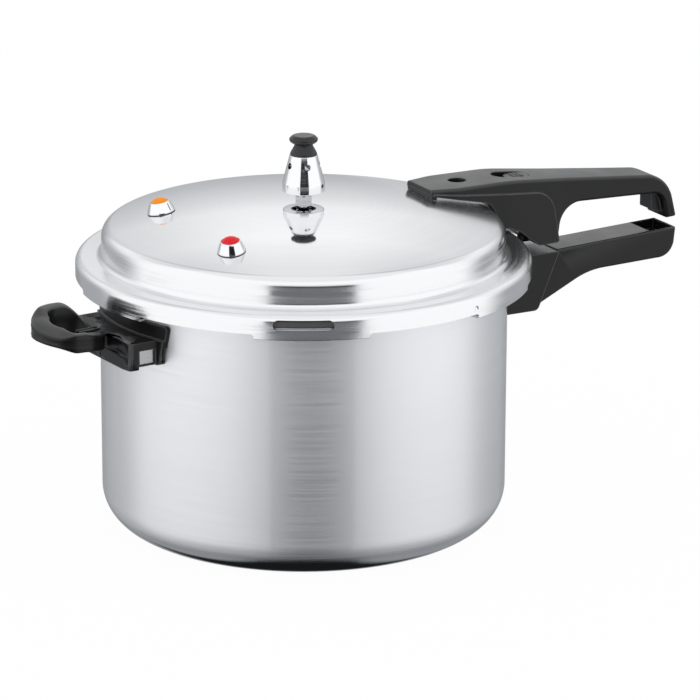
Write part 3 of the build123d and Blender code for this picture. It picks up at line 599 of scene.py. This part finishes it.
def bendLoop(vert):
    # from an even ring to the loop: solid toe, broad far rim, thin near arm, leaning top
    plan = loopPlan
    x, y, z = vert.co
    bearing = math.atan2(y, x)
    band = plan["outer"] - plan["armInner"]
    across = (math.hypot(x, y) - plan["armInner"]) / band
    up = (z - plan["low"]) / (plan["top"] - plan["low"])
    toe = ease(math.cos(bearing - math.radians(plan["toeTurn"])), *plan["toeSpan"])
    far = ease(-math.sin(bearing), *plan["farSpan"])
    inner = plan["armInner"] + (plan["farInner"] - plan["armInner"]) * far
    inner += (plan["toeInner"] - inner) * toe
    radius = inner + (plan["outer"] - inner) * min(across, 1.0) + band * max(across - 1.0, 0.0)
    lean = math.tan(math.radians(plan["lean"]))
    arm = max(abs(math.degrees(bearing)) - 90, 0) / (plan["sweep"] / 2 - 90)
    if arm == 0:
        x, y = plan["place"] + radius * math.cos(bearing), radius * math.sin(bearing)
        top = plan["top"] - y * lean
        low = plan["low"] + max(x - plan["toeStart"], 0.0) * plan["toeRise"]
    else:  # each arm curves in to the neck
        side = 1 if y > 0 else -1
        tipX, tipY, tipTop = plan["neck"]
        tipX += plan["neckWall"][0] * (1 - across)
        tipY -= plan["neckWall"][1] * (1 - across)
        near, mid, end = (1 - arm) ** 2, 2 * arm * (1 - arm), arm ** 2
        x = near * plan["place"] + mid * (plan["place"] - plan["bow"]) + end * tipX
        y = side * ((near + mid) * radius + end * tipY)
        top = plan["top"] - side * radius * lean
        top += (tipTop - top) * (arm if side > 0 else ease(arm, *plan["farFall"]))
        low = plan["low"] + (plan["neckLow"] - plan["low"]) * arm
    edge = max(across, 0.0) ** plan["swell"]
    top -= toe * (plan["crown"] * edge + plan["toeDrop"])
    low += toe * plan["belly"] * edge
    vert.co = (x, y, low + (top - low) * up)


def makeLoop():
    plan = loopPlan
    inner, outer, low, top = plan["armInner"], plan["outer"], plan["low"], plan["top"]
    rounds, half = plan["rounds"], plan["beadHalf"]
    corners = [(inner, low, rounds["lowIn"]), (outer, low, rounds["lowOut"])]
    for share in plan["beads"]:  # two beads round the outer wall
        middle = low + (top - low) * share
        corners += [(outer, middle - half, 0), (outer + plan["bead"], middle, 0), (outer, middle + half, 0)]
    corners += [(outer, top, rounds["topOut"]), (inner + plan["lip"], top, 0), (inner, top, rounds["topIn"])]
    bm = bmesh.new()
    verts = drawProfile(bm, corners)
    roundCorners(bm, verts, corners, rounds["segments"])
    move(bm, swing(-plan["sweep"] / 2))
    spinRound(bm, plan["sweep"], plan["steps"])
    bmesh.ops.holes_fill(bm, edges=bm.edges[:], sides=0)
    faceOut(bm)
    for vert in bm.verts:
        bendLoop(vert)
    return bm


# side wall that runs from the neck along the base to its near end
cheekPlan = {
    "outline": [
        (0.1404, -0.0040), (0.1424, 0.0010), (0.1418, 0.0048), (0.1402, 0.0086), (0.1381, 0.0133),
        (0.1384, 0.0191), (0.1391, 0.0255), (0.1396, 0.0330), (0.1330, 0.0336), (0.1330, 0.0090),
        (0.1392, 0.0070), (0.1392, -0.0040),
    ],
    "rise": (0.1250, 0.1393), "outside": 0.136, "corner": 0.0022, "cornerSegments": 4,
    "rim": 0.0006, "rimSegments": 3,
}


def makeCheek():
    plan = cheekPlan
    low, top = plan["rise"]
    bm = bmesh.new()
    face = bm.faces.new([bm.verts.new((x, y, low)) for x, y in plan["outline"]])
    raised = newVerts(bmesh.ops.extrude_face_region(bm, geom=[face]))
    bmesh.ops.translate(bm, vec=(0, 0, top - low), verts=raised)
    faceOut(bm)
    upright = [e for e in bm.edges if abs(e.verts[0].co.z - e.verts[1].co.z) > (top - low) / 2
               and e.verts[0].co.x > plan["outside"]]
    roundOff(bm, upright, plan["corner"], plan["cornerSegments"])
    roundOff(bm, [e for e in bm.edges if atTop(e, top)], plan["rim"], plan["rimSegments"])
    return bm


# two stiffening ribs and a boss that show inside the opening; places count from the base's cut
ribPlan = {
    "segments": 3, "ribs": [
        {"size": (0.0140, 0.0016, 0.007), "place": (0.006, -0.0042, 0.1378), "round": 0.0003},
        {"size": (0.0140, 0.0016, 0.007), "place": (0.006, -0.0006, 0.1378), "round": 0.0003},
        {"size": (0.0110, 0.0056, 0.007), "place": (0.004, 0.0046, 0.1372), "round": 0.0016},
    ],
}


def addRib(bm, rib):
    out, aside, rise = rib["place"]
    made = bmesh.ops.create_cube(bm, size=1)["verts"]
    bmesh.ops.scale(bm, vec=rib["size"], verts=made)
    bmesh.ops.translate(bm, vec=(loopPlan["cutAt"] + out, aside, rise), verts=made)
    roundOff(bm, edgesOf(made), rib["round"], ribPlan["segments"])


def makeHelper():
    plan = loopPlan
    bm = bmesh.new()
    bm.from_mesh(nodes["helper_handle"].data)
    merge(bm)
    move(bm, swing(-plan["turn"]))
    bmesh.ops.bisect_plane(bm, geom=bm.verts[:] + bm.edges[:] + bm.faces[:], dist=weldGap,
                           plane_co=(plan["cutAt"], 0, 0), plane_no=(1, 0, 0), clear_outer=True)
    bmesh.ops.holes_fill(bm, edges=[e for e in bm.edges if e.is_boundary], sides=0)
    for rib in ribPlan["ribs"]:
        addRib(bm, rib)
    joinInto(bm, makeLoop())
    joinInto(bm, makeCheek())
    move(bm, swing(plan["turn"]))
    return newPiece(bm, "helperHandle", "black_moulding", "pot")


helper = makeHelper()
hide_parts("helper_handle")
print("helper handle moulded, faces:", len(helper.data.polygons))

# lid handle's trim: a lip that closes the nose down to the dome, a plug over the screw in the lock's window
trimPlan = {
    "lip": [(0.0830, 0.0156), (0.0797, 0.0148), (0.0797, -0.0148), (0.0830, -0.0156)],
    "lipCuts": 5, "lipRise": (0.0002, 0.0030), "wall": 0.0011, "plug": (0.1362, 0.0, 0.19283),
    "plugRadius": 0.00455, "plugDepth": 0.0014, "plugSegments": 40, "plugRound": 0.0004, "roundSegments": 3,
}


def addLip(bm):
    plan = trimPlan
    low, high = plan["lipRise"]
    verts = [bm.verts.new((x, y, 0)) for x, y in plan["lip"]]
    edges = [bm.edges.new(pair) for pair in zip(verts, verts[1:])]
    bmesh.ops.subdivide_edges(bm, edges=edges, cuts=plan["lipCuts"])
    for vert in bm.verts:
        vert.co.z = domeHeight(math.hypot(vert.co.x, vert.co.y)) + low
    raised = newVerts(bmesh.ops.extrude_edge_only(bm, edges=bm.edges[:]))
    bmesh.ops.translate(bm, vec=(0, 0, high - low), verts=raised)
    faceOut(bm)
    outward = max(bm.faces, key=lambda face: -face.calc_center_median().x).normal.x < 0
    bmesh.ops.solidify(bm, geom=bm.faces[:], thickness=plan["wall"] if outward else -plan["wall"])


def addPlug(bm):
    plan = trimPlan
    x, y, top = plan["plug"]
    radius, depth = plan["plugRadius"], plan["plugDepth"]
    plug = bmesh.ops.create_cone(bm, cap_ends=True, segments=plan["plugSegments"], radius1=radius,
                                 radius2=radius, depth=depth,
                                 matrix=Matrix.Translation((x, y, top - depth / 2)))["verts"]
    rim = [e for e in edgesOf(plug) if atTop(e, top)]
    roundOff(bm, rim, plan["plugRound"], plan["roundSegments"])


def makeTrim():
    bm = bmesh.new()
    addLip(bm)
    addPlug(bm)
    faceOut(bm)
    return newPiece(bm, "handleTrim", "black_moulding", "lid")


trim = makeTrim()
print("handle trim set, faces:", len(trim.data.polygons))

# thin seals that show as a dark line under the two valve collars
sealPlan = {"radius": (0.0070, 0.0084), "sink": 0.0004, "height": 0.0005, "round": 0.0002, "segments": 3,
            "steps": 64}


def makeSeals():
    inner, outer = sealPlan["radius"]
    low, high = -sealPlan["sink"], sealPlan["height"]
    corners = [(inner, low, 0), (outer, low, 0), (outer, high, sealPlan["round"]), (inner, high, 0)]
    bm = bmesh.new()
    for across, turn in valvePlaces.values():
        ring = bmesh.new()
        verts = drawProfile(ring, corners)
        roundCorners(ring, verts, corners, sealPlan["segments"])
        turnProfile(ring, sealPlan["steps"])
        move(ring, onDome(across, turn))
        joinInto(bm, ring)
    return newPiece(bm, "collarSeals", "grey_rubber", "lid")


seals = makeSeals()
print("collar seals set, faces:", len(seals.data.polygons))


# valve springs: the solids' coils, each copied as a fixed steel piece
def makeSpring(valve):
    bm = bmesh.new()
    bm.from_mesh(nodes[f"{valve}_valve_spring"].data)
    merge(bm)
    faceOut(bm)
    piece = newPiece(bm, f"{valve}Spring", "steel")
    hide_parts(f"{valve}_valve_spring")
    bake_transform(piece)


for valve in valvePlaces:
    makeSpring(valve)
print("valve springs coiled:", len(valvePlaces))

# weight's knob: a pinched cone under a rounded cap with a dished top
knobPlan = {
    "foot": 0.2268, "segments": 5, "steps": 64, "profile": [
        (0.0, 0.0001, 0), (0.0082, 0.0001, 0.0003), (0.0080, 0.0012, 0.0008), (0.0052, 0.0062, 0.0010),
        (0.0087, 0.0083, 0.0014), (0.0086, 0.0099, 0.0011), (0.0066, 0.0120, 0.0012), (0.0, 0.0116, 0),
    ],
}


def makeKnob():
    corners = [(x, z + knobPlan["foot"], rounding) for x, z, rounding in knobPlan["profile"]]
    bm = bmesh.new()
    verts = drawProfile(bm, corners, False)
    roundCorners(bm, verts, corners, knobPlan["segments"])
    turnProfile(bm, knobPlan["steps"])
    return newPiece(bm, "weightKnob", "knob_black", "weight")


knob = makeKnob()
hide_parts("weight_knob")
print("knob turned, faces:", len(knob.data.polygons))

# camera
view = {
    "aim": (0, 0, 0.1), "distance": 2.5, "turn": -118.0, "rise": 17.2, "pitch": 17.093,
    "lens": 212.6, "sensor": 36.0, "shift": 0.0663, "clip": 50.0,
}


def makeCamera():
    data = bpy.data.cameras.new("camera")
    data.lens = view["lens"]
    data.sensor_width = view["sensor"]
    data.shift_x = view["shift"]
    data.clip_end = view["clip"]
    turn, rise = math.radians(view["turn"]), math.radians(view["rise"])
    away = Vector((math.cos(rise) * math.cos(turn), math.cos(rise) * math.sin(turn), math.sin(rise)))
    camera = bpy.data.objects.new("camera", data)
    camera.location = Vector(view["aim"]) + away * view["distance"]
    camera.rotation_euler = (math.radians(90 - view["pitch"]), 0, turn + math.pi / 2)
    scene.collection.objects.link(camera)
    return camera


scene.camera = makeCamera()
scene.view_settings.view_transform = "Standard"

# studio: turns count from the camera, rises from the horizon, both in degrees
studio = {
    "stripTurn": 5.0, "stripEdge": (23.0, 25.0), "stripFade": (0, 6), "stripLevels": (0.19, 0.02),
    "stripFoot": (-32.0, -26.0), "stripTop": (14.0, 24.0), "boxLevel": 1.15, "boxEnd": (98.0, 122.0),
    "upper": (52.0, 66.0), "upperLevel": 1.0,
    "lower": (-46.0, -34.0), "lowerEdge": (0.22, 0.34), "lowerLevels": (0.012, 0.34),
    "backEdge": (165.0, 178.0), "backSide": 0.74, "backFlank": (146.0, 166.0), "flankLevels": (0.95, 0.5),
    "backLevels": [(-30, 0.42), (-12, 0.47), (0, 0.57), (7, 0.69), (14, 0.84), (19, 1.0), (31, 1.1),
                   (40, 0.95), (52, 0.88), (70, 0.95)],
    "tint": (0.995, 0.998, 1.0), "shadeTint": (0.92, 0.97, 1.03),
}


def grey(level):
    return (level, level, level, 1)


def makeFront(tree, turn, rise):
    # a bright box round the camera with a dark strip in it, which the walls mirror
    fromStrip = calc(tree, "ABSOLUTE", calc(tree, "SUBTRACT", turn, studio["stripTurn"]))
    strip = spread(tree, rise, *studio["stripFade"], *studio["stripLevels"])  # paler low down
    strip = calc(tree, "MULTIPLY", strip, spread(tree, rise, *studio["stripFoot"]))
    strip = mixValue(tree, spread(tree, rise, *studio["stripTop"]), strip, studio["boxLevel"])
    return spread(tree, fromStrip, *studio["stripEdge"], strip, studio["boxLevel"], True)


def makeBack(tree, away, rise):
    # a backdrop that brightens upwards, for the dome, and dips on each side
    levels = studio["backLevels"]
    low, high = levels[0][0], levels[-1][0]
    back = addNode(tree, "ValToRGB", {"Fac": spread(tree, rise, low, high)})
    ramp = back.color_ramp
    for place, level in levels[1:-1]:
        ramp.elements.new((place - low) / (high - low)).color = grey(level)
    for end in (0, -1):
        ramp.elements[end].color = grey(levels[end][1])
    sides = spread(tree, away, *studio["backEdge"], studio["backSide"], 1.0, True)
    flanks = spread(tree, away, *studio["backFlank"], *studio["flankLevels"], True)
    return calc(tree, "MULTIPLY", back.outputs["Color"], calc(tree, "MAXIMUM", sides, flanks))


def makeWorld():
    world = bpy.data.worlds.new("softStudio")
    world.use_nodes = True
    tree = world.node_tree
    sky = addNode(tree, "TexCoord").outputs["Generated"]
    toCamera = (0, 0, math.radians(-view["turn"]))
    sky = addNode(tree, "Mapping", {"Vector": sky, "Rotation": toCamera}).outputs[0]
    x, y, z = addNode(tree, "SeparateXYZ", {0: sky}).outputs
    turn = calc(tree, "DEGREES", calc(tree, "ARCTAN2", y, x))
    rise = calc(tree, "DEGREES", calc(tree, "ARCSINE", z))
    away = calc(tree, "ABSOLUTE", turn)
    behind = spread(tree, away, *studio["boxEnd"], 0.0, 1.0, True)
    level = mixValue(tree, behind, makeFront(tree, turn, rise), makeBack(tree, away, rise))
    high = spread(tree, rise, *studio["upper"], 0.0, 1.0, True)
    level = mixValue(tree, high, level, studio["upperLevel"])
    low = spread(tree, rise, *studio["lower"], 1.0, 0.0, True)
    stripSide = math.tan(math.radians(studio["stripTurn"]))
    aside = calc(tree, "ABSOLUTE", calc(tree, "MULTIPLY_ADD", x, -stripSide, y))
    foot = spread(tree, aside, *studio["lowerEdge"], *studio["lowerLevels"], True)  # dark under the strip
    level = mixValue(tree, low, level, foot)
    hue = mixColour(tree, level, (*studio["shadeTint"], 1), (*studio["tint"], 1))
    seen = addNode(tree, "LightPath").outputs["Is Camera Ray"]
    shown = mixColour(tree, seen, scaled(tree, hue, level), grey(1))
    feed(tree, tree.nodes["Background"], Color=shown)
    return world


scene.world = makeWorld()

# floor: white to the camera, and not mirrored in the metal
floorPlan = {"size": 12.0, "colour": (0.86, 0.86, 0.87), "mottle": 0.985, "mottleScale": 6.0, "glow": 0.97}


def makeFloorFinish():
    mat, tree, shader = newFinish("paleFloor", Roughness=0.8)
    mottle = noise(tree, objectPlace(tree), floorPlan["mottleScale"])
    dark = tuple(floorPlan["mottle"] * c for c in floorPlan["colour"])
    feed(tree, shader, Base_Color=tint(tree, mottle, dark, floorPlan["colour"]))
    glow = addNode(tree, "Emission", {"Color": grey(1), "Strength": 1.0})
    seen = calc(tree, "MULTIPLY", addNode(tree, "LightPath").outputs["Is Camera Ray"], floorPlan["glow"])
    shown = addNode(tree, "MixShader", {0: seen, 1: shader.outputs[0], 2: glow.outputs[0]}).outputs[0]
    feed(tree, tree.nodes["Material Output"], Surface=shown)
    return mat


def makeFloor():
    bm = bmesh.new()
    bmesh.ops.create_grid(bm, x_segments=2, y_segments=2, size=floorPlan["size"] / 2)
    mesh = bpy.data.meshes.new("floor")
    bm.to_mesh(mesh)
    bm.free()
    mesh.materials.append(makeFloorFinish())
    floor = bpy.data.objects.new("floor", mesh)
    scene.collection.objects.link(floor)
    floor.visible_glossy = False
    return floor


floor = makeFloor()
print("studio, floor and camera set")
